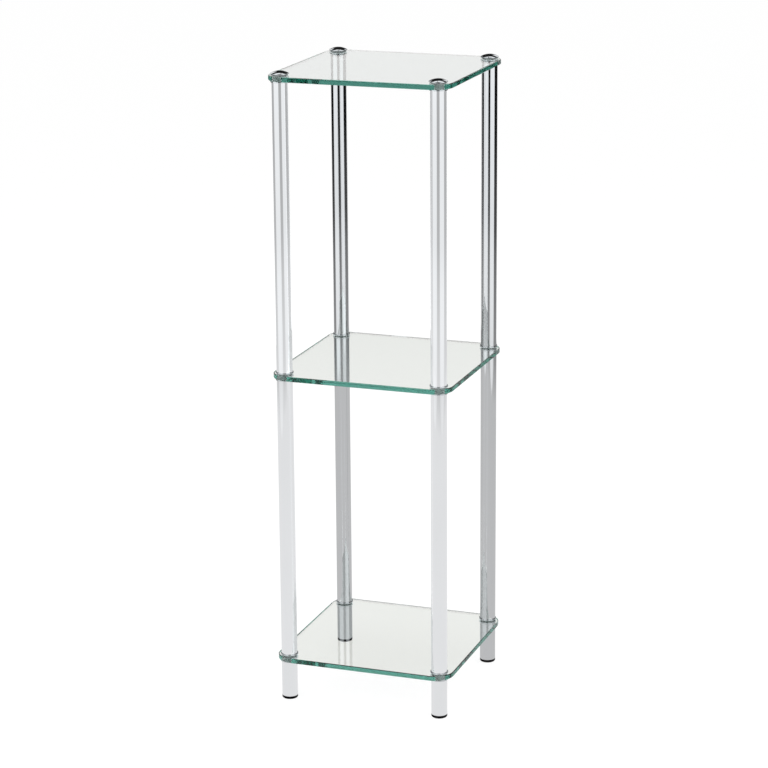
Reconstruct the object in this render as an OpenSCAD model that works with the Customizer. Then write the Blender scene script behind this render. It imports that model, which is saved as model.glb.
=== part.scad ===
// Three-tier glass shelf tower: square glass sheets clamped between chromed tube posts.
// Millimetres, +Z up, the floor at z = 0 and the tower's middle on the Z axis.
// The front faces -Y, and the right side is +X.

/* [Shelves] */
// Side of each square glass shelf
shelf_w = 290; // [240:5:400]
// Thickness of the glass
shelf_t = 8; // [6:1:12]
// Radius of the shelf's corners
corner_r = 30; // [16:1:40]
// Flat bevel ground along each edge of the glass
arris = 1.0; // [0.3:0.1:1.5]
// Distance of each post's axis from the shelf's two nearest edges
post_inset = 20; // [18:1:40]

/* [Heights] */
// Floor to the underside of the bottom shelf
foot_h = 65; // [55:1:120]
// Clear height between the bottom and the middle shelf
lower_bay = 453; // [250:1:500]
// Clear height between the middle and the top shelf
upper_bay = 453; // [250:1:500]

/* [Tubes] */
// Outer diameter of the post tube
tube_d = 25; // [24:0.5:32]
// Wall of the post tube
tube_wall = 1.2; // [0.8:0.1:1.6]

/* [Collars] */
// How far a collar stands out past the tube all round
collar_lip = 1.4; // [0.8:0.1:2.5]
// Height of a collar
collar_h = 2.1; // [1.9:0.1:4]
// Floor of a collar, under the tube insert's flange
collar_floor = 0.8; // [0.6:0.1:1]
// Radius of the collar's rounded outer edge
collar_round = 0.6; // [0.3:0.1:0.8]

/* [Grommets] */
// Hole drilled through the glass for each post
glass_hole_d = 12; // [11.5:0.1:14]
// Clear flange between the glass and the metal
flange_t = 0.5; // [0.3:0.1:1]
// Diameter of that flange
flange_d = 24; // [18:0.5:24]
// Space left between the two sleeves that meet inside the glass
sleeve_gap = 0.6; // [0.2:0.1:1.5]

/* [Inserts and studs] */
// Length of a tube insert below its flange
insert_l = 20; // [16:1:24]
// Thickness of the insert's flange, which the tube end stands on
insert_flange_t = 0.7; // [0.5:0.1:0.8]
// Diameter of the insert's round hub
insert_hub_d = 14; // [12:0.5:16]
// Thickness of each fin between the hub and the tube
insert_fin_t = 2; // [1.5:0.1:3]
// Number of fins on an insert
insert_fins = 6; // [4:1:8]
// Diameter of the thread on the studs and caps
thread_d = 8; // [6:0.5:8]
// How far a stud or a cap's shank reaches into an insert
thread_bite = 14; // [8:1:15]
// Size across the flats of the key socket in a stud's end
key_af = 4; // [3:0.5:4]
// Depth of the key socket
key_depth = 4; // [2:0.5:5]

/* [Caps] */
// How far a cap's rim stands out past the tube all round
cap_lip = 1.7; // [0.8:0.1:3]
// Diameter of the cap's foot, where it meets the grommet
cap_foot_d = 24.6; // [22:0.1:25]
// Height of the flare from the cap's foot to its rim
cap_flare_h = 1.4; // [0.8:0.1:2]
// Height of the cap's upright rim
cap_rim_h = 0.8; // [0.5:0.1:1.5]
// Height of the dome above the rim
cap_dome_h = 3.9; // [2:0.1:7]

/* [Glides] */
// Height of the glide below the tube end
glide_h = 5; // [4:0.5:8]
// Radius of the glide's rounded lower edge
glide_round = 2.5; // [1:0.5:3.5]
// Length of the plug inside the tube
plug_l = 16; // [12:1:18]
// Wall of the hollow plug
plug_wall = 2.2; // [1.5:0.1:3]
// How far each barbed ring stands out of the plug
barb_h = 1.1; // [0.6:0.1:1.6]
// Number of barbed rings on a plug
barbs = 4; // [3:1:5]

/* [Fits] */
// Clearance all round between a tube and what it fits into or over
tube_fit = 0.1; // [0.05:0.05:0.2]
// Clearance all round between a thread or a sleeve and its hole
hole_fit = 0.15; // [0.1:0.05:0.25]

/* [Hidden] */
$fn = 64;
eps = 0.01;

// Undersides and top faces of the three sheets
bottom_under = foot_h;
bottom_over = bottom_under + shelf_t;
middle_under = bottom_over + lower_bay;
middle_over = middle_under + shelf_t;
top_under = middle_over + upper_bay;
top_over = top_under + shelf_t;

// From a glass face to the collar, to the insert's flange and to the tube's end
collar_off = flange_t;
insert_off = collar_off + collar_floor;
tube_off = insert_off + insert_flange_t;

tube_id = tube_d - 2 * tube_wall;
collar_d = tube_d + 2 * collar_lip;
cap_d = tube_d + 2 * cap_lip;
thread_hole_d = thread_d + 2 * hole_fit;
sleeve_d = glass_hole_d - 2 * hole_fit;
sleeve_l = (shelf_t - sleeve_gap) / 2;
post_xy = shelf_w / 2 - post_inset;
front_left = [-post_xy, -post_xy];
front_right = [post_xy, -post_xy];
back_left = [-post_xy, post_xy];
back_right = [post_xy, post_xy];
posts = [front_left, front_right, back_left, back_right];

chrome = "gainsboro";
zinc = "darkgray";
glass_tint = [0.72, 0.88, 0.82, 0.5];
clear_plastic = [0.93, 0.95, 0.95, 0.6];
black_plastic = [0.04, 0.04, 0.045];

// Places the children on one post at a height
module at(post, z) {
    translate([post[0], post[1], z]) children();
}

// Places the children on all four posts at a height, and turns them over if asked
module on_posts(z, upside_down = false) {
    for (post = posts)
        at(post, z) rotate([upside_down ? 180 : 0, 0, 0]) children();
}

// Half section of a sheet, from x = 0 out to its bevelled edge at reach
module edge_section(reach) {
    polygon([
        [0, 0], [reach - arris, 0], [reach, arris],
        [reach, shelf_t - arris], [reach - arris, shelf_t], [0, shelf_t]
    ]);
}

// Straight run of sheet along Y, as wide as the shelf, with both long edges bevelled
module sheet_run(length) {
    half = shelf_w / 2;
    rotate([90, 0, 0])
        linear_extrude(length, center = true)
            polygon([
                [arris - half, 0], [half - arris, 0], [half, arris], [half, shelf_t - arris],
                [half - arris, shelf_t], [arris - half, shelf_t], [-half, shelf_t - arris], [-half, arris]
            ]);
}

// Hole in the glass, with a bevel at both mouths
module glass_hole() {
    hole_r = glass_hole_d / 2;
    rotate_extrude()
        polygon([
            [0, -eps], [hole_r + arris + eps, -eps], [hole_r, arris],
            [hole_r, shelf_t - arris], [hole_r + arris + eps, shelf_t + eps], [0, shelf_t + eps]
        ]);
}

// One glass sheet with its underside at z
module shelf(z) {
    straight = shelf_w - 2 * corner_r;
    color(glass_tint)
        difference() {
            translate([0, 0, z])
                union() {
                    sheet_run(straight);
                    rotate([0, 0, 90]) sheet_run(straight);
                    for (x = [-1, 1], y = [-1, 1])
                        translate([x * straight / 2, y * straight / 2, 0])
                            rotate_extrude() edge_section(corner_r);
                }
            on_posts(z) glass_hole();
        }
}

// Post tube between two heights
module tube(post, z_low, z_high) {
    color(chrome)
        at(post, z_low)
            difference() {
                cylinder(h = z_high - z_low, d = tube_d);
                translate([0, 0, -eps]) cylinder(h = z_high - z_low + 2 * eps, d = tube_id);
            }
}

// The glass and what lies on both its faces is clamped between two tube ends
module upper_tube(post) {
    tube(post, middle_over + tube_off, top_under - tube_off);
}

module lower_tube(post) {
    tube(post, bottom_over + tube_off, middle_under - tube_off);
}

module foot_tube(post) {
    tube(post, glide_h, bottom_under - tube_off);
}

// Section with its outer corner at [reach, top] and, if both, at [reach, 0] rounded
module rounded_section(reach, top, round_r, both) {
    low = both ? round_r : 0;
    square([reach - round_r, top]);
    translate([0, low]) square([reach, top - round_r - low]);
    translate([reach - round_r, top - round_r]) circle(r = round_r);
    if (both) translate([reach - round_r, round_r]) circle(r = round_r);
}

// Shallow cup that stands on a grommet and holds the insert's flange and the tube's end
module collar() {
    edge = min(collar_round, collar_lip / 2, collar_h / 2 - eps);
    color(chrome)
        translate([0, 0, collar_off])
            difference() {
                rotate_extrude() rounded_section(collar_d / 2, collar_h, edge, true);
                translate([0, 0, collar_floor]) cylinder(h = collar_h, d = tube_d + 2 * tube_fit);
                translate([0, 0, -eps]) cylinder(h = collar_h, d = thread_hole_d);
            }
}

// Clear stepped washer: the flange keeps metal off the glass and the sleeve lines the hole
module grommet() {
    color(clear_plastic)
        difference() {
            union() {
                cylinder(h = flange_t, d = flange_d);
                translate([0, 0, -sleeve_l]) cylinder(h = sleeve_l + eps, d = sleeve_d);
            }
            translate([0, 0, -sleeve_l - eps])
                cylinder(h = sleeve_l + flange_t + 2 * eps, d = thread_hole_d);
        }
}

// Finned plug with a threaded bore; its flange faces the glass and its body fills the tube
module insert() {
    body_r = tube_id / 2 - tube_fit;
    lead_in = tube_wall;
    color(zinc)
        translate([0, 0, insert_off])
            difference() {
                union() {
                    cylinder(h = insert_flange_t, d = tube_d);
                    intersection() {
                        linear_extrude(insert_flange_t + insert_l)
                            union() {
                                circle(d = insert_hub_d);
                                for (i = [0 : insert_fins - 1])
                                    rotate(i * 360 / insert_fins)
                                        translate([0, -insert_fin_t / 2]) square([body_r + 1, insert_fin_t]);
                            }
                        rotate_extrude()
                            polygon([
                                [0, 0], [body_r, 0], [body_r, insert_flange_t + insert_l - lead_in],
                                [body_r - lead_in, insert_flange_t + insert_l], [0, insert_flange_t + insert_l]
                            ]);
                    }
                }
                translate([0, 0, -eps])
                    cylinder(h = insert_flange_t + insert_l + 2 * eps, d = thread_hole_d);
            }
}

// Stud that joins the inserts above and below a sheet, with a key socket in each end
module stud(z_under) {
    half = shelf_t / 2 + tube_off + thread_bite;
    lead = thread_d / 8;
    color(zinc)
        translate([0, 0, z_under + shelf_t / 2])
            difference() {
                rotate_extrude()
                    polygon([
                        [0, -half], [thread_d / 2 - lead, -half], [thread_d / 2, lead - half],
                        [thread_d / 2, half - lead], [thread_d / 2 - lead, half], [0, half]
                    ]);
                for (end = [0, 1])
                    mirror([0, 0, end])
                        translate([0, 0, half - key_depth])
                            cylinder(h = key_depth + eps, d = key_af / cos(30), $fn = 6);
            }
}

// Chromed dome with a flared foot, on a shank that screws into the upper tube's insert
module top_cap(post) {
    rim_r = cap_d / 2;
    foot_r = cap_foot_d / 2;
    rim_z = cap_flare_h + cap_rim_h;
    dome_r = (rim_r * rim_r + cap_dome_h * cap_dome_h) / (2 * cap_dome_h);
    shank_l = flange_t + shelf_t + tube_off + thread_bite;
    lead = thread_d / 8;
    color(chrome)
        at(post, top_over + collar_off)
            union() {
                rotate_extrude()
                    polygon([
                        [0, 0], [foot_r, 0], [rim_r, cap_flare_h], [rim_r, rim_z], [0, rim_z]
                    ]);
                intersection() {
                    translate([0, 0, rim_z + cap_dome_h - dome_r]) sphere(r = dome_r);
                    translate([0, 0, rim_z - eps]) cylinder(h = cap_dome_h + 2 * eps, r = rim_r);
                }
                translate([0, 0, -shank_l])
                    rotate_extrude()
                        polygon([
                            [0, 0], [thread_d / 2 - lead, 0], [thread_d / 2, lead],
                            [thread_d / 2, shank_l + eps], [0, shank_l + eps]
                        ]);
            }
}

// Black glide: a rounded foot as wide as the tube, and a hollow barbed plug inside it
module foot_glide(post) {
    barb_r = tube_id / 2 - tube_fit;
    plug_r = barb_r - barb_h;
    pitch = plug_l / (barbs + 0.5);
    color(black_plastic)
        at(post, 0)
            difference() {
                union() {
                    mirror([0, 0, 1])
                        translate([0, 0, -glide_h])
                            rotate_extrude() rounded_section(tube_d / 2, glide_h, glide_round, false);
                    translate([0, 0, glide_h - eps]) cylinder(h = plug_l + eps, r = plug_r);
                    for (i = [0 : barbs - 1])
                        translate([0, 0, glide_h + (i + 0.5) * pitch])
                            cylinder(h = pitch * 0.6, r1 = barb_r, r2 = plug_r);
                }
                translate([0, 0, glide_h]) cylinder(h = plug_l + eps, r = plug_r - plug_wall);
            }
}

shelf(top_under);  // top_shelf
shelf(middle_under);  // middle_shelf
shelf(bottom_under);  // bottom_shelf
upper_tube(front_left);  // upper_tube_front_left
upper_tube(front_right);  // upper_tube_front_right
upper_tube(back_left);  // upper_tube_back_left
upper_tube(back_right);  // upper_tube_back_right
lower_tube(front_left);  // lower_tube_front_left
lower_tube(front_right);  // lower_tube_front_right
lower_tube(back_left);  // lower_tube_back_left
lower_tube(back_right);  // lower_tube_back_right
foot_tube(front_left);  // foot_tube_front_left
foot_tube(front_right);  // foot_tube_front_right
foot_tube(back_left);  // foot_tube_back_left
foot_tube(back_right);  // foot_tube_back_right
top_cap(front_left);  // top_cap_front_left
top_cap(front_right);  // top_cap_front_right
top_cap(back_left);  // top_cap_back_left
top_cap(back_right);  // top_cap_back_right
foot_glide(front_left);  // foot_glide_front_left
foot_glide(front_right);  // foot_glide_front_right
foot_glide(back_left);  // foot_glide_back_left
foot_glide(back_right);  // foot_glide_back_right
on_posts(top_under, true) collar();  // collars_under_top_shelf
on_posts(middle_over) collar();  // collars_over_middle_shelf
on_posts(middle_under, true) collar();  // collars_under_middle_shelf
on_posts(bottom_over) collar();  // collars_over_bottom_shelf
on_posts(bottom_under, true) collar();  // collars_under_bottom_shelf
on_posts(top_over) grommet();  // grommets_over_top_shelf
on_posts(top_under, true) grommet();  // grommets_under_top_shelf
on_posts(middle_over) grommet();  // grommets_over_middle_shelf
on_posts(middle_under, true) grommet();  // grommets_under_middle_shelf
on_posts(bottom_over) grommet();  // grommets_over_bottom_shelf
on_posts(bottom_under, true) grommet();  // grommets_under_bottom_shelf
on_posts(top_under, true) insert();  // inserts_upper_tube_top
on_posts(middle_over) insert();  // inserts_upper_tube_bottom
on_posts(middle_under, true) insert();  // inserts_lower_tube_top
on_posts(bottom_over) insert();  // inserts_lower_tube_bottom
on_posts(bottom_under, true) insert();  // inserts_foot_tube_top
on_posts(0) stud(middle_under);  // studs_middle_shelf
on_posts(0) stud(bottom_under);  // studs_bottom_shelf
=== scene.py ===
import math
import bmesh
import bpy
from mathutils import Matrix, Vector


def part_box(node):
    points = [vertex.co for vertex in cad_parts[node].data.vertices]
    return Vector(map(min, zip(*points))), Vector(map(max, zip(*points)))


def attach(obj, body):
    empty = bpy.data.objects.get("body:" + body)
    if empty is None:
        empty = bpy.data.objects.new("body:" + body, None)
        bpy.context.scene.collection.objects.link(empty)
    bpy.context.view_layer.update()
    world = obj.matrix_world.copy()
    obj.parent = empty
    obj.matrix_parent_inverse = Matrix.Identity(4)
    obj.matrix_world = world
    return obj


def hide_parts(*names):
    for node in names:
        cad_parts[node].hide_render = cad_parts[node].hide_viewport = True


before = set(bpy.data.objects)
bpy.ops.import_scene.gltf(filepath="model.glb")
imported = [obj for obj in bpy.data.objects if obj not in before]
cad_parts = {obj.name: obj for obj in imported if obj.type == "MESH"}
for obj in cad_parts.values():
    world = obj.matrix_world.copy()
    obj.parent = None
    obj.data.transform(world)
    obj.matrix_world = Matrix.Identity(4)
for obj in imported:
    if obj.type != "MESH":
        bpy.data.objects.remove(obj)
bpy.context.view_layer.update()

# ---- Camera ----
# Stands a little over four metres off, to the tower's right and above its top shelf,
# with a long lens, as the photograph was taken. Lengths in metres, angles in radians.
camera_place = (1.36063, -3.81402, 1.62366)
camera_turn = 0.34444
camera_dip = 0.27201
camera_roll = -0.00724
camera = bpy.data.objects.new("camera", bpy.data.cameras.new("camera"))
camera.data.sensor_width = 36.0
camera.data.lens = 125.59
camera.matrix_world = (
    Matrix.Translation(camera_place)
    @ Matrix.Rotation(camera_turn, 4, "Z")
    @ Matrix.Rotation(math.pi / 2 - camera_dip, 4, "X")
    @ Matrix.Rotation(camera_roll, 4, "Z")
)
bpy.context.scene.collection.objects.link(camera)
bpy.context.scene.camera = camera
bpy.context.scene.view_settings.view_transform = "Standard"

# Light is followed through the glass for as many turns as its long thin edges need.
bpy.context.scene.cycles.max_bounces = 24
bpy.context.scene.cycles.glossy_bounces = 20
bpy.context.scene.cycles.transmission_bounces = 24
bpy.context.scene.cycles.transparent_max_bounces = 16

# ---- Studio: paper, soft boxes and cards ----
# The photograph's background is pure white paper, so the camera sees white all round. The
# chrome sees what stood round the tower there: a dark room, tall soft boxes and white cards.
world = bpy.data.worlds.new("studio")
world.use_nodes = True
bpy.context.scene.world = world
nodes = world.node_tree.nodes
link = world.node_tree.links.new
nodes.clear()
ray = nodes.new("ShaderNodeLightPath")


def mirrored(nodes, link, ray, turns, within=0.5):
    """1 for light that was mirrored about that many times, and 0 for all other light"""
    times = nodes.new("ShaderNodeMath")
    times.operation = "COMPARE"
    times.inputs[1].default_value, times.inputs[2].default_value = turns, within
    link(ray.outputs["Glossy Depth"], times.inputs[0])
    return times.outputs[0]


def product(nodes, link, first, second):
    """Two values multiplied"""
    both = nodes.new("ShaderNodeMath")
    both.operation = "MULTIPLY"
    link(first, both.inputs[0])
    link(second, both.inputs[1])
    return both.outputs[0]


def off_chrome(nodes, link, ray, turns):
    """1 for light thrown through the glass after that many mirrorings, and 0 for all other light"""
    return product(nodes, link, mirrored(nodes, link, ray, turns), ray.outputs["Is Transmission Ray"])


def instead(nodes, link, before, after, when):
    """The second shader for one kind of light, and the first for all other"""
    blend = nodes.new("ShaderNodeMixShader")
    link(when, blend.inputs["Fac"])
    link(before, blend.inputs[1])
    link(after, blend.inputs[2])
    return blend.outputs[0]


def room(level):
    """World light of one level"""
    shade = nodes.new("ShaderNodeBackground")
    shade.inputs["Color"].default_value = (1.0, 1.0, 1.0, 1.0)
    shade.inputs["Strength"].default_value = level
    return shade.outputs[0]


soft_light = 0.62
dark_room = 0.015
behind_glass = 0.98
seen = instead(nodes, link, room(soft_light), room(dark_room), ray.outputs["Is Glossy Ray"])
seen = instead(nodes, link, seen, room(behind_glass), ray.outputs["Is Transmission Ray"])
seen = instead(nodes, link, seen, room(dark_room), off_chrome(nodes, link, ray, 2.0))
seen = instead(nodes, link, seen, room(1.0), ray.outputs["Is Camera Ray"])
link(seen, nodes.new("ShaderNodeOutputWorld").inputs["Surface"])


def new_material(name):
    """An empty material, its nodes, a function that joins two sockets, and its output node"""
    material = bpy.data.materials.new(name)
    material.use_nodes = True
    nodes = material.node_tree.nodes
    nodes.clear()
    return material, nodes, material.node_tree.links.new, nodes.new("ShaderNodeOutputMaterial")


# White paper floor: white to the camera but for the tower's faint shadow, and to the chrome
# a pool of light that dies away into the dark room.
floor_size = 40.0
floor_white = 0.87
floor_grey = (0.2, 0.2, 0.2, 1.0)
pool_reach = 6.0
pool_stops = ((0.0, 0.62), (1.7, 0.59), (2.1, 0.33), (3.0, 0.20), (3.5, 0.08), (5.0, 0.01))
pool_near, pool_far = 3.0, 4.5
through_glass_near = (0.81, 0.78, 0.75, 1.0)
through_glass_far = (0.60, 0.59, 0.585, 1.0)
bm = bmesh.new()
bmesh.ops.create_grid(bm, x_segments=1, y_segments=1, size=floor_size / 2)
floor_mesh = bpy.data.meshes.new("floor")
bm.to_mesh(floor_mesh)
bm.free()
floor = bpy.data.objects.new("floor", floor_mesh)
bpy.context.scene.collection.objects.link(floor)

paper, nodes, link, out = new_material("floor_paper")
place = nodes.new("ShaderNodeTexCoord")
away = nodes.new("ShaderNodeVectorMath")
away.operation = "LENGTH"
link(place.outputs["Object"], away.inputs[0])
reach = nodes.new("ShaderNodeMath")
reach.operation = "DIVIDE"
reach.inputs[1].default_value = pool_reach
link(away.outputs["Value"], reach.inputs[0])
pool = nodes.new("ShaderNodeValToRGB")
while len(pool.color_ramp.elements) < len(pool_stops):
    pool.color_ramp.elements.new(0.5)
for stop, (distance, level) in zip(pool.color_ramp.elements, pool_stops):
    stop.position = distance / pool_reach
    stop.color = (level, level, level, 1.0)
link(reach.outputs[0], pool.inputs["Fac"])
ray = nodes.new("ShaderNodeLightPath")
grey = nodes.new("ShaderNodeBsdfDiffuse")
grey.inputs["Color"].default_value = floor_grey
pool_glow = nodes.new("ShaderNodeEmission")
link(pool.outputs["Color"], pool_glow.inputs["Color"])
near = nodes.new("ShaderNodeMapRange")
near.inputs["From Min"].default_value, near.inputs["From Max"].default_value = pool_near, pool_far
near.inputs["To Min"].default_value, near.inputs["To Max"].default_value = 1.0, 0.0
link(away.outputs["Value"], near.inputs["Value"])
near_pool = product(nodes, link, near.outputs["Result"], off_chrome(nodes, link, ray, 1.0))
through_glass = nodes.new("ShaderNodeMix")
through_glass.data_type = "RGBA"
through_glass.inputs["A"].default_value = through_glass_far
through_glass.inputs["B"].default_value = through_glass_near
link(near.outputs["Result"], through_glass.inputs["Factor"])


def floor_glow(level, colour=None):
    """Pale light from the paper, over its grey, so that a shadow still shows"""
    glow = nodes.new("ShaderNodeEmission")
    glow.inputs["Strength"].default_value = level
    if colour:
        link(colour, glow.inputs["Color"])
    both = nodes.new("ShaderNodeAddShader")
    link(grey.outputs[0], both.inputs[0])
    link(glow.outputs[0], both.inputs[1])
    return both.outputs[0]


seen = instead(nodes, link, grey.outputs[0], pool_glow.outputs[0], ray.outputs["Is Glossy Ray"])
behind = floor_glow(1.0, through_glass.outputs["Result"])
seen = instead(nodes, link, seen, behind, ray.outputs["Is Transmission Ray"])
seen = instead(nodes, link, seen, pool_glow.outputs[0], near_pool)
seen = instead(nodes, link, seen, floor_glow(floor_white), ray.outputs["Is Camera Ray"])
link(seen, out.inputs["Surface"])
floor_mesh.materials.append(paper)

# Groups of pieces that some lamps light alone, or leave out. Each section adds its pieces.
glass_levels = ("bottom", "middle", "top")
glass_groups = {level: bpy.data.collections.new(level + "_glass_only") for level in glass_levels}
front_posts = bpy.data.collections.new("front_posts")
boxed_light = bpy.data.collections.new("boxed_light")
rear_light = bpy.data.collections.new("rear_light")
all_glass = bpy.data.collections.new("all_glass")


def leave_out(group, made):
    """Names a piece in a group as the one that the group's lamps don't light"""
    group.objects.link(made)
    group.collection_objects[-1].light_linking.link_state = "EXCLUDE"


def spread(nodes, link, pattern, low, high, between=(0.3, 0.7)):
    """A pattern's values brought to the range low to high"""
    bring = nodes.new("ShaderNodeMapRange")
    bring.inputs["From Min"].default_value, bring.inputs["From Max"].default_value = between
    bring.inputs["To Min"].default_value, bring.inputs["To Max"].default_value = low, high
    link(pattern, bring.inputs["Value"])
    return bring.outputs["Result"]


fade_height = 0.75


def light_card(name, level, tint, width, height, place, lights=None, dims=0.0):
    """Rectangle of light, seen only in gloss, that shines along its own -Z and may dim to the floor"""
    lamp = bpy.data.lights.new(name, "AREA")
    lamp.shape = "RECTANGLE"
    lamp.size, lamp.size_y = width, height
    lamp.energy = level * math.pi * width * height
    lamp.color = tint
    card = bpy.data.objects.new(name, lamp)
    card.matrix_world = place
    card.visible_camera = False
    card.visible_transmission = False
    card.light_linking.receiver_collection = lights
    bpy.context.scene.collection.objects.link(card)
    if dims:
        lamp.use_nodes = True
        nodes = lamp.node_tree.nodes
        link = lamp.node_tree.links.new
        high = nodes.new("ShaderNodeSeparateXYZ")
        link(nodes.new("ShaderNodeNewGeometry").outputs["Position"], high.inputs[0])
        fade = nodes.new("ShaderNodeMath")
        fade.operation = "POWER"
        fade.inputs[1].default_value = dims
        link(spread(nodes, link, high.outputs["Z"], 0.0, 1.0, (0.0, fade_height)), fade.inputs[0])
        link(fade.outputs[0], nodes["Emission"].inputs["Strength"])
    return card


def stood(turn, distance, middle_z):
    """Place of an upright card that faces the tower; turn is round from the camera's side, in degrees"""
    return (
        Matrix.Rotation(camera_turn + math.radians(turn), 4, "Z")
        @ Matrix.Translation((0.0, -distance, middle_z))
        @ Matrix.Rotation(math.pi / 2, 4, "X")
        @ Matrix.Rotation(math.pi, 4, "Z")
    )


def only_after(lamp, fewest, most):
    """Keeps a lamp's light for rays that were mirrored from fewest to most times"""
    lamp.use_nodes = True
    nodes = lamp.node_tree.nodes
    link = lamp.node_tree.links.new
    strength = nodes["Emission"].inputs["Strength"]
    ray = nodes.new("ShaderNodeLightPath")
    times = mirrored(nodes, link, ray, (fewest + most) / 2, (most - fewest) / 2 + 0.5)
    if strength.links:
        times = product(nodes, link, strength.links[0].from_socket, times)
    link(times, strength)


white = (1.0, 1.0, 1.0)
soft_box_tint = (0.97, 0.99, 1.0)
soft_box_height = 2.4
soft_box_middle = 1.2
soft_box_level, soft_box_dims = 1.05, 0.3
front_post_level, front_post_dims = 0.59, 0.5
by_glass_level = 1.25
many_turns = 22
left_box = ("soft_box_left", 2.2, -54.0, 1.62)
right_box = ("soft_box_right", 2.05, 46.0, 1.7)
for name, width, turn, distance in (left_box, right_box):
    size = (width, soft_box_height)
    spot = stood(turn, distance, soft_box_middle)
    light_card(name, soft_box_level, soft_box_tint, *size, spot, boxed_light, soft_box_dims)
    light_card(name + "_dimmed", front_post_level, soft_box_tint, *size, spot, front_posts, front_post_dims)
    # The sheets mirror no box to the eye, but do so to the chrome, which is two mirrorings or more
    by_glass = light_card(name + "_by_glass", by_glass_level, soft_box_tint, *size, spot, all_glass,
                          soft_box_dims)
    by_glass.visible_transmission = name == right_box[0]
    only_after(by_glass.data, 2, many_turns)
# What the chrome throws down through a sheet finds the right box under that sheet
name, width, turn, distance = right_box
for level in glass_levels[1:]:
    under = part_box(level + "_shelf")[0].z
    spot = stood(turn, distance, under / 2)
    under_glass = light_card(name + "_under_" + level + "_glass", by_glass_level, soft_box_tint, width, under,
                             spot, glass_groups[level], soft_box_dims)
    under_glass.visible_glossy = False
    under_glass.visible_transmission = True
    only_after(under_glass.data, 1, 1)
rear_level, rear_width, rear_turn, rear_distance = 0.9, 0.8, 156.0, 2.2
for turn in (-rear_turn, rear_turn):
    light_card("rear_box", rear_level, white, rear_width, soft_box_height,
               stood(turn, rear_distance, soft_box_middle), rear_light)

# Strips overhead, in pairs with a gap between, make the pale band on the dome of each cap
strip_level = 1.0
strip_z = 2.9
strip_middle, strip_width, strip_length, strip_gap = 1.0, 0.62, 1.0, 0.08
for turn in (0.0, 90.0, 180.0, 270.0):
    for side in (-0.5, 0.5):
        light_card("overhead_strip", strip_level, white, strip_length, strip_width, (
            Matrix.Rotation(camera_turn + math.radians(turn), 4, "Z")
            @ Matrix.Translation((side * (strip_length + strip_gap), -strip_middle, strip_z))
        ))

# Glass mirrors the pale paper all round it, which the dark room keeps from the chrome
glass_sky_levels = {"bottom": 0.5, "middle": 0.61, "top": 0.99}
glass_sky_tint = (1.0, 0.97, 0.965)
for level, sheets in glass_groups.items():
    lamp = bpy.data.lights.new("sky_on_" + level + "_glass", "SUN")
    lamp.angle = math.pi
    lamp.energy = glass_sky_levels[level] * math.pi
    lamp.color = glass_sky_tint
    only_after(lamp, 0, 1)
    sky = bpy.data.objects.new(lamp.name, lamp)
    sky.visible_camera = False
    sky.visible_transmission = False
    sky.light_linking.receiver_collection = sheets
    bpy.context.scene.collection.objects.link(sky)

# ---- Foot glides ----
# Black polyethylene feet as wide as the tube, each with a hollow barbed plug that is
# pressed into the foot tube's lower end. Moulded in one, with a rounded sole.
glide_r = 0.0125
glide_h = 0.005
glide_round = 0.0025
glide_edge = 0.0003
plug_r = 0.0101
plug_bore_r = 0.0079
plug_l = 0.016
barbs = 4
barb_r = 0.0112
barb_pitch = plug_l / (barbs + 0.5)
ends = ("front_left", "front_right", "back_left", "back_right")


def spun(profile, steps=96):
    """Mesh turned all round the Z axis from a half-section of (radius, height)"""
    bm = bmesh.new()
    row = [bm.verts.new((r, 0.0, z)) for r, z in profile]
    edges = [bm.edges.new(pair) for pair in zip(row, row[1:] + row[:1])
             if (pair[0].co.x, pair[1].co.x) != (0.0, 0.0)]
    bmesh.ops.spin(bm, geom=row + edges, cent=(0, 0, 0), axis=(0, 0, 1),
                   angle=2 * math.pi, steps=steps, use_merge=True)
    bmesh.ops.remove_doubles(bm, verts=bm.verts, dist=1e-7)
    bmesh.ops.recalc_face_normals(bm, faces=bm.faces)
    return bm


def rounded(bm, width, segments, *rings):
    """Rounds the edges that run round the axis at each (radius, height)"""
    def on(vert, r, z):
        return abs(math.hypot(vert.co.x, vert.co.y) - r) < 2e-6 and abs(vert.co.z - z) < 2e-6
    edges = [e for e in bm.edges for r, z in rings if on(e.verts[0], r, z) and on(e.verts[1], r, z)]
    bmesh.ops.bevel(bm, geom=edges, offset=width, offset_type="OFFSET", segments=segments,
                    profile=0.5, affect="EDGES", material=-1)


def placed(bm, spots, flip=False):
    """Puts a copy of the mesh at each spot, turned over if asked, and takes the first away"""
    first = bm.verts[:] + bm.edges[:] + bm.faces[:]
    if flip:
        bmesh.ops.rotate(bm, verts=bm.verts, cent=(0, 0, 0), matrix=Matrix.Rotation(math.pi, 3, "X"))
    for spot in spots:
        copy = bmesh.ops.duplicate(bm, geom=first)["geom"]
        bmesh.ops.translate(bm, vec=spot, verts=[v for v in copy if isinstance(v, bmesh.types.BMVert)])
    bmesh.ops.delete(bm, geom=[v for v in first if isinstance(v, bmesh.types.BMVert)], context="VERTS")


def piece(name, bm, material, slot, *stands_for, crease=35.0):
    """The finished mesh as a shown piece, smooth but for its sharp edges, in place of CAD nodes"""
    for face in bm.faces:
        face.smooth = True
    for edge in bm.edges:
        edge.smooth = len(edge.link_faces) == 2 and edge.calc_face_angle() < math.radians(crease)
    mesh = bpy.data.meshes.new(name)
    bm.to_mesh(mesh)
    bm.free()
    mesh.materials.append(material)
    made = bpy.data.objects.new(name, mesh)
    bpy.context.scene.collection.objects.link(made)
    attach(made, "root")
    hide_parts(*stands_for)
    return made


def middle(node):
    """Middle of a CAD node's box"""
    low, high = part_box(node)
    return (low + high) / 2


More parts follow.
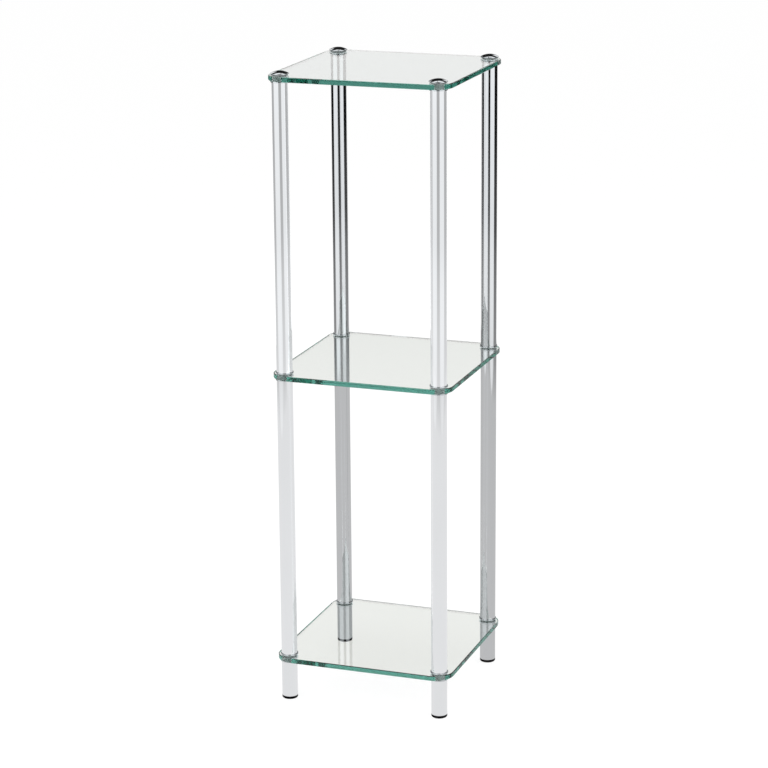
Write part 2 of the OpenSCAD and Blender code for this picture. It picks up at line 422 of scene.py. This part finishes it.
def noise(nodes, link, scale, stretch=(1, 1, 1), detail=3.0, start=None):
    """Fine pattern on the piece itself, stretched along its axes"""
    start = start or nodes.new("ShaderNodeTexCoord").outputs["Object"]
    mapping = nodes.new("ShaderNodeMapping")
    mapping.inputs["Scale"].default_value = stretch
    link(start, mapping.inputs["Vector"])
    pattern = nodes.new("ShaderNodeTexNoise")
    pattern.inputs["Scale"].default_value = scale
    pattern.inputs["Detail"].default_value = detail
    link(mapping.outputs["Vector"], pattern.inputs["Vector"])
    return pattern.outputs["Fac"]


def colours(nodes, link, pattern, first, second):
    """A colour that goes from the first to the second with a pattern"""
    mix = nodes.new("ShaderNodeMix")
    mix.data_type = "RGBA"
    mix.inputs["A"].default_value = (*first, 1.0)
    mix.inputs["B"].default_value = (*second, 1.0)
    link(pattern, mix.inputs["Factor"])
    return mix.outputs["Result"]


def bumps(nodes, link, pattern, height, strength=1.0):
    """Relief of a real height, in metres, from a pattern"""
    relief = nodes.new("ShaderNodeBump")
    relief.inputs["Distance"].default_value = height
    relief.inputs["Strength"].default_value = strength
    link(pattern, relief.inputs["Height"])
    return relief.outputs["Normal"]


glide_black, nodes, link, out = new_material("moulded_black")
shader = nodes.new("ShaderNodeBsdfPrincipled")
grain = noise(nodes, link, 2600.0)
cloud = noise(nodes, link, 60.0)
link(colours(nodes, link, cloud, (0.0015, 0.0015, 0.002), (0.004, 0.004, 0.0045)),
     shader.inputs["Base Color"])
link(spread(nodes, link, cloud, 0.5, 0.64), shader.inputs["Roughness"])
link(bumps(nodes, link, grain, 0.00004, 0.6), shader.inputs["Normal"])
shader.inputs["IOR"].default_value = 1.49
shader.inputs["Specular IOR Level"].default_value = 0.07
link(shader.outputs[0], out.inputs["Surface"])

for end in ends:
    spot = middle("foot_glide_" + end)
    outline = [(0.0, 0.0), (glide_r, 0.0), (glide_r, glide_h), (plug_r, glide_h)]
    for n in range(barbs):
        start = glide_h + (n + 0.5) * barb_pitch
        outline += [(plug_r, start), (barb_r, start), (plug_r, start + 0.6 * barb_pitch)]
    outline += [(plug_r, glide_h + plug_l), (plug_bore_r, glide_h + plug_l), (plug_bore_r, glide_h),
                (0.0, glide_h)]
    glide = spun(outline)
    rounded(glide, glide_round, 10, (glide_r, 0.0))
    rounded(glide, glide_edge, 3, (glide_r, glide_h), (plug_r, glide_h + plug_l),
            (plug_bore_r, glide_h + plug_l))
    placed(glide, [(spot.x, spot.y, 0.0)])
    piece("glide_" + end, glide, glide_black, "glide_plastic", "foot_glide_" + end)

# ---- Post tubes ----
# Welded steel tube, 25 mm across with a 1.2 mm wall, cut square, the burrs taken off
# inside and out, then polished and chrome plated. Three lengths make each post.
tube_r = 0.0125
tube_bore_r = 0.0113
tube_burr = 0.00015
tube_hold = 0.001

post_chrome, nodes, link, out = new_material("chrome_on_tube")
shader = nodes.new("ShaderNodeBsdfPrincipled")
shader.inputs["Metallic"].default_value = 1.0
polish = noise(nodes, link, 900.0, (1, 1, 0.02), 2.0)
haze = noise(nodes, link, 22.0, (1, 1, 0.5), 4.0)
link(colours(nodes, link, haze, (0.775, 0.785, 0.80), (0.81, 0.82, 0.835)), shader.inputs["Base Color"])
rough = nodes.new("ShaderNodeMath")
link(spread(nodes, link, polish, 0.02, 0.05), rough.inputs[0])
link(spread(nodes, link, haze, 0.0, 0.02), rough.inputs[1])
link(rough.outputs[0], shader.inputs["Roughness"])
link(bumps(nodes, link, polish, 0.000002, 0.5), shader.inputs["Normal"])
link(shader.outputs[0], out.inputs["Surface"])

for level in ("foot", "lower", "upper"):
    for end in ends:
        node = level + "_tube_" + end
        low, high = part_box(node)
        length = high.z - low.z
        # A ring close to each end keeps the long walls straight in their shading
        tube = spun([(tube_bore_r, 0.0), (tube_r, 0.0), (tube_r, tube_hold), (tube_r, length - tube_hold),
                     (tube_r, length), (tube_bore_r, length), (tube_bore_r, length - tube_hold),
                     (tube_bore_r, tube_hold)])
        rounded(tube, tube_burr, 2, (tube_r, 0.0), (tube_r, length),
                (tube_bore_r, 0.0), (tube_bore_r, length))
        spot = middle(node)
        placed(tube, [(spot.x, spot.y, low.z)])
        post = piece(level + "_post_" + end, tube, post_chrome, "chrome_tube", node)
        if end.startswith("front"):
            front_posts.objects.link(post)
            leave_out(boxed_light, post)

# The front posts came out paler than the back ones: a veil of light close round each of them
veil_levels = {"upper": 0.5, "lower": 0.33, "foot": 0.3}
veil_width = 0.028
veil_below = 0.01
for level, glow in veil_levels.items():
    for end in ends[:2]:
        low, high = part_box(level + "_tube_" + end)
        spot = middle(level + "_tube_" + end) - Vector((0.0, 0.0, veil_below / 2))
        for turn in range(4):
            light_card("veil", glow, white, veil_width, high.z - low.z + veil_below, (
                Matrix.Translation(spot)
                @ Matrix.Rotation(turn * math.pi / 2, 4, "Z")
                @ Matrix.Translation((0.0, -veil_width / 2, 0.0))
                @ Matrix.Rotation(math.pi / 2, 4, "X")
                @ Matrix.Rotation(math.pi, 4, "Z")
            ), front_posts)

# ---- Tube inserts ----
# Zinc castings with six fins that are pressed into the tube ends; their flange covers the
# end and their threaded bore takes the stud. The CAD pieces stay, with a cast finish.
cast_zinc, nodes, link, out = new_material("cast_zinc")
shader = nodes.new("ShaderNodeBsdfPrincipled")
shader.inputs["Metallic"].default_value = 1.0
grain = noise(nodes, link, 1500.0)
cloud = noise(nodes, link, 120.0)
link(colours(nodes, link, cloud, (0.46, 0.46, 0.47), (0.62, 0.62, 0.62)), shader.inputs["Base Color"])
link(spread(nodes, link, cloud, 0.34, 0.52), shader.inputs["Roughness"])
link(bumps(nodes, link, grain, 0.00003, 0.5), shader.inputs["Normal"])
link(shader.outputs[0], out.inputs["Surface"])
for name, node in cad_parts.items():
    if name.startswith("inserts_"):
        node.data.materials.clear()
        node.data.materials.append(cast_zinc)

# ---- Collars ----
# Shallow chromed cups, cast, turned and polished, between each tube end and the glass.
# The insert's flange and the tube's end sit in the cup, and the stud passes its floor.
collar_r = 0.0139
collar_cup_r = 0.0126
collar_hole_r = 0.00415
collar_h = 0.0021
collar_floor = 0.0008
collar_round = 0.0006
collar_burr = 0.0002

fitting_chrome, nodes, link, out = new_material("chrome_on_castings")
shader = nodes.new("ShaderNodeBsdfPrincipled")
shader.inputs["Metallic"].default_value = 1.0
turning = noise(nodes, link, 1400.0, (0.05, 0.05, 1), 2.0)
haze = noise(nodes, link, 160.0, (1, 1, 1), 4.0)
link(colours(nodes, link, haze, (0.74, 0.775, 0.795), (0.78, 0.81, 0.83)), shader.inputs["Base Color"])
link(spread(nodes, link, haze, 0.05, 0.10), shader.inputs["Roughness"])
link(bumps(nodes, link, turning, 0.000002, 0.5), shader.inputs["Normal"])
link(shader.outputs[0], out.inputs["Surface"])

for node in [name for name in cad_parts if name.startswith("collars_")]:
    low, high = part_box(node)
    collar = spun([(collar_hole_r, 0.0), (collar_r, 0.0), (collar_r, collar_h),
                   (collar_cup_r, collar_h), (collar_cup_r, collar_floor), (collar_hole_r, collar_floor)])
    rounded(collar, collar_round, 6, (collar_r, 0.0), (collar_r, collar_h))
    rounded(collar, collar_burr, 3, (collar_cup_r, collar_h), (collar_hole_r, 0.0),
            (collar_hole_r, collar_floor))
    under = "_under_" in node
    posts = [(x, y, high.z if under else low.z)
             for x in (low.x + collar_r, high.x - collar_r) for y in (low.y + collar_r, high.y - collar_r)]
    placed(collar, posts, flip=under)
    piece(node.replace("collars", "chromed_collars"), collar, fitting_chrome, "chrome_fitting", node)

# ---- Grommets ----
# Soft clear plastic washers with a sleeve, pressed by hand into the holes from both sides,
# so that no metal touches the glass. The CAD pieces stay, with a soft plastic finish.
soft_plastic, nodes, link, out = new_material("soft_clear_plastic")
shader = nodes.new("ShaderNodeBsdfPrincipled")
shader.inputs["Transmission Weight"].default_value = 0.45
shader.inputs["IOR"].default_value = 1.46
cloud = noise(nodes, link, 300.0)
link(colours(nodes, link, cloud, (0.80, 0.83, 0.83), (0.88, 0.90, 0.90)), shader.inputs["Base Color"])
link(spread(nodes, link, cloud, 0.24, 0.4), shader.inputs["Roughness"])
link(bumps(nodes, link, cloud, 0.00002, 0.4), shader.inputs["Normal"])
link(shader.outputs[0], out.inputs["Surface"])
for name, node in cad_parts.items():
    if name.startswith("grommets_"):
        node.data.materials.clear()
        node.data.materials.append(soft_plastic)

# ---- Glass shelves ----
# Three sheets of 8 mm tempered float glass, 290 mm square with rounded corners. Each is cut,
# drilled for the four posts, its edges ground flat and polished, then toughened.
glass_hole_r = 0.006
glass_corner_r = 0.030
glass_bevel = 0.001
wall_fade = 0.0002
air_film = 0.00003

glass, nodes, link, out = new_material("float_glass")
shader = nodes.new("ShaderNodeBsdfPrincipled")
shader.inputs["IOR"].default_value = 1.52
facing = nodes.new("ShaderNodeNewGeometry")
split = nodes.new("ShaderNodeSeparateXYZ")
link(facing.outputs["Normal"], split.inputs["Vector"])
upright = nodes.new("ShaderNodeMath")
upright.operation = "ABSOLUTE"
link(split.outputs["Z"], upright.inputs[0])
ground = nodes.new("ShaderNodeValToRGB")
ground.color_ramp.elements[0].position, ground.color_ramp.elements[1].position = 0.0, 0.5
for stop, value in zip(ground.color_ramp.elements, (0.02, 0.16)):
    stop.color = (value, value, value, 1.0)
polished = ground.color_ramp.elements.new(0.95)
polished.color = (0.004, 0.004, 0.004, 1.0)
link(upright.outputs[0], ground.inputs["Fac"])
smear = noise(nodes, link, 18.0, (1, 1, 1), 5.0)
rough = nodes.new("ShaderNodeMath")
link(ground.outputs["Color"], rough.inputs[0])
link(spread(nodes, link, smear, 0.0, 0.006), rough.inputs[1])
# The drill leaves the walls of the four holes matt and white
post = middle("upper_tube_front_right")
step = nodes.new("ShaderNodeTexCoord").outputs["Object"]
for operation, amount in (("ABSOLUTE", None), ("SUBTRACT", (post.x, -post.y, 0.0)),
                          ("MULTIPLY", (1.0, 1.0, 0.0)), ("LENGTH", None)):
    change = nodes.new("ShaderNodeVectorMath")
    change.operation = operation
    link(step, change.inputs[0])
    if amount:
        change.inputs[1].default_value = amount
    step = change.outputs["Value" if operation == "LENGTH" else "Vector"]
wall_r = glass_hole_r + glass_bevel
wall = (wall_r, wall_r + wall_fade)
matt = nodes.new("ShaderNodeMath")
matt.operation = "MAXIMUM"
link(rough.outputs[0], matt.inputs[0])
link(spread(nodes, link, step, 0.6, 0.0, wall), matt.inputs[1])
link(matt.outputs[0], shader.inputs["Roughness"])
link(spread(nodes, link, step, 0.5, 1.0, wall), shader.inputs["Transmission Weight"])
link(colours(nodes, link, spread(nodes, link, step, 0.0, 1.0, wall), (0.75, 0.88, 0.86), (1.0, 1.0, 1.0)),
     shader.inputs["Base Color"])
wheel_marks = noise(nodes, link, 700.0, (0.004, 0.004, 1), 3.0)
link(bumps(nodes, link, wheel_marks, 0.0000004, 0.5), shader.inputs["Normal"])
link(shader.outputs[0], out.inputs["Surface"])
# The green of plain float glass shows only along the sheet: light lost on each metre of glass
tint = nodes.new("ShaderNodeVolumeAbsorption")
tint.inputs["Color"].default_value = (0.0, 0.54, 0.45, 1.0)
tint.inputs["Density"].default_value = 7.6
link(tint.outputs[0], out.inputs["Volume"])

for level in glass_levels:
    low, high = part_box(level + "_shelf")
    sheet = bmesh.new()
    bmesh.ops.create_grid(sheet, x_segments=1, y_segments=1, size=high.x)
    bmesh.ops.bevel(sheet, geom=sheet.verts[:], offset=glass_corner_r, offset_type="OFFSET", segments=32,
                    profile=0.5, affect="VERTICES", material=-1)
    bmesh.ops.delete(sheet, geom=sheet.faces[:], context="FACES_ONLY")
    for x in (-post.x, post.x):
        for y in (-abs(post.y), abs(post.y)):
            bmesh.ops.create_circle(sheet, segments=64, radius=glass_hole_r,
                                    matrix=Matrix.Translation((x, y, 0.0)))
    bmesh.ops.triangle_fill(sheet, edges=sheet.edges[:], use_beauty=True, use_dissolve=False,
                            normal=(0, 0, 1))
    grown = bmesh.ops.extrude_face_region(sheet, geom=sheet.faces[:])["geom"]
    # A film of air stays between the glass and the plastic that bears on it
    bmesh.ops.translate(sheet, vec=(0, 0, high.z - low.z - 2 * air_film),
                        verts=[v for v in grown if isinstance(v, bmesh.types.BMVert)])
    bmesh.ops.translate(sheet, vec=(0, 0, low.z + air_film), verts=sheet.verts)
    bmesh.ops.recalc_face_normals(sheet, faces=sheet.faces)
    rims = [e for e in sheet.edges
            if e.calc_face_angle() > 1.0 and abs(e.verts[0].co.z - e.verts[1].co.z) < 1e-6]
    bmesh.ops.bevel(sheet, geom=rims, offset=glass_bevel, offset_type="OFFSET", segments=1,
                    profile=0.5, affect="EDGES", material=-1)
    made = piece(level + "_glass", sheet, glass, "glass", level + "_shelf", crease=25.0)
    glass_groups[level].objects.link(made)
    all_glass.objects.link(made)
    leave_out(boxed_light, made)
    leave_out(rear_light, made)

# ---- Studs ----
# Double-ended M8 studs of bright zinc plated steel, with a key socket in each end. They
# join the inserts above and below a sheet and draw the tubes together on the glass.
thread_r = 0.004
thread_root_r = 0.0033
thread_pitch = 0.00125
thread_steps = 24
key_r = 0.00231
key_depth = 0.004

bright_steel, nodes, link, out = new_material("bright_zinc_plate")
shader = nodes.new("ShaderNodeBsdfPrincipled")
shader.inputs["Metallic"].default_value = 1.0
cloud = noise(nodes, link, 400.0)
link(colours(nodes, link, cloud, (0.56, 0.56, 0.55), (0.68, 0.68, 0.69)), shader.inputs["Base Color"])
link(spread(nodes, link, cloud, 0.22, 0.36), shader.inputs["Roughness"])
link(bumps(nodes, link, cloud, 0.00001, 0.4), shader.inputs["Normal"])
link(shader.outputs[0], out.inputs["Surface"])


def threaded(low, high):
    """Rod with a real screw thread between two heights, open at both ends"""
    bm = bmesh.new()
    crest = thread_pitch / 16
    start = low - 2 * thread_pitch
    turns = math.ceil((high - start) / thread_pitch) + 2
    shape = [(thread_root_r, start), (thread_r, start + thread_pitch / 2 - crest),
             (thread_r, start + thread_pitch / 2 + crest), (thread_root_r, start + thread_pitch)]
    row = [bm.verts.new((r, 0.0, z)) for r, z in shape]
    edges = [bm.edges.new(pair) for pair in zip(row, row[1:])]
    bmesh.ops.spin(bm, geom=row + edges, cent=(0, 0, 0), axis=(0, 0, 1),
                   dvec=(0, 0, thread_pitch / thread_steps),
                   angle=2 * math.pi * turns, steps=thread_steps * turns)
    bmesh.ops.remove_doubles(bm, verts=bm.verts, dist=2e-6)
    for height, side in ((low, -1), (high, 1)):
        bmesh.ops.bisect_plane(bm, geom=bm.verts[:] + bm.edges[:] + bm.faces[:], dist=1e-7,
                               plane_co=(0, 0, height), plane_no=(0, 0, side), clear_outer=True)
    return bm


def ring_at(bm, height):
    """Open edges of the mesh at one height"""
    return [e for e in bm.edges if len(e.link_faces) == 1
            and all(abs(v.co.z - height) < 1e-6 for v in e.verts)]


for level in ("bottom", "middle"):
    node = "studs_" + level + "_shelf"
    low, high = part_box(node)
    stud = threaded(low.z, high.z)
    for height, inward in ((low.z, 1), (high.z, -1)):
        socket = bmesh.ops.create_circle(stud, segments=6, radius=key_r,
                                         matrix=Matrix.Translation((0, 0, height)))
        mouth = list({e for v in socket["verts"] for e in v.link_edges})
        rim = [e for e in ring_at(stud, height) if e not in mouth]
        bmesh.ops.bridge_loops(stud, edges=rim + mouth)
        wall = bmesh.ops.extrude_edge_only(stud, edges=mouth)["geom"]
        sunk = [v for v in wall if isinstance(v, bmesh.types.BMVert)]
        bmesh.ops.translate(stud, vec=(0, 0, inward * key_depth), verts=sunk)
        bmesh.ops.contextual_create(stud, geom=[e for e in wall if isinstance(e, bmesh.types.BMEdge)
                                                and e.verts[0] in sunk and e.verts[1] in sunk])
    bmesh.ops.recalc_face_normals(stud, faces=stud.faces)
    posts = [(x, y, 0.0)
             for x in (low.x + thread_r, high.x - thread_r) for y in (low.y + thread_r, high.y - thread_r)]
    placed(stud, posts)
    piece("threaded_" + node, stud, bright_steel, "stud_steel", node)

# ---- Caps ----
# Chromed castings with a low dome over a flared foot. Each has an M8 shank that screws
# through the top glass into the upper tube's insert, and so holds the top shelf down.
cap_foot_r = 0.0123
cap_rim_r = 0.0142
cap_flare_h = 0.0014
cap_rim_h = 0.0008
cap_dome_h = 0.0039
cap_round = 0.0003
dome_steps = 16

for end in ends:
    node = "top_cap_" + end
    low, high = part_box(node)
    foot_z = high.z - cap_dome_h - cap_rim_h - cap_flare_h
    rim_z = foot_z + cap_flare_h + cap_rim_h
    dome_r = (cap_rim_r ** 2 + cap_dome_h ** 2) / (2 * cap_dome_h)
    dome_turn = math.asin(cap_rim_r / dome_r) / dome_steps
    dome = [(dome_r * math.sin(dome_turn * n), high.z - dome_r * (1 - math.cos(dome_turn * n)))
            for n in range(dome_steps + 1)]
    cap = spun([(0.0, foot_z), (cap_foot_r, foot_z), (cap_rim_r, foot_z + cap_flare_h)] + dome[::-1])
    rounded(cap, cap_round, 4, (cap_rim_r, rim_z), (cap_rim_r, foot_z + cap_flare_h), (cap_foot_r, foot_z))
    shank = threaded(low.z, foot_z)
    bmesh.ops.contextual_create(shank, geom=ring_at(shank, low.z))
    bmesh.ops.contextual_create(shank, geom=ring_at(shank, foot_z))
    shank_mesh = bpy.data.meshes.new("shank")
    shank.to_mesh(shank_mesh)
    shank.free()
    cap.from_mesh(shank_mesh)
    bpy.data.meshes.remove(shank_mesh)
    bmesh.ops.recalc_face_normals(cap, faces=cap.faces)
    spot = middle(node)
    placed(cap, [(spot.x, spot.y, 0.0)])
    piece("cap_" + end, cap, fitting_chrome, "chrome_fitting", node)
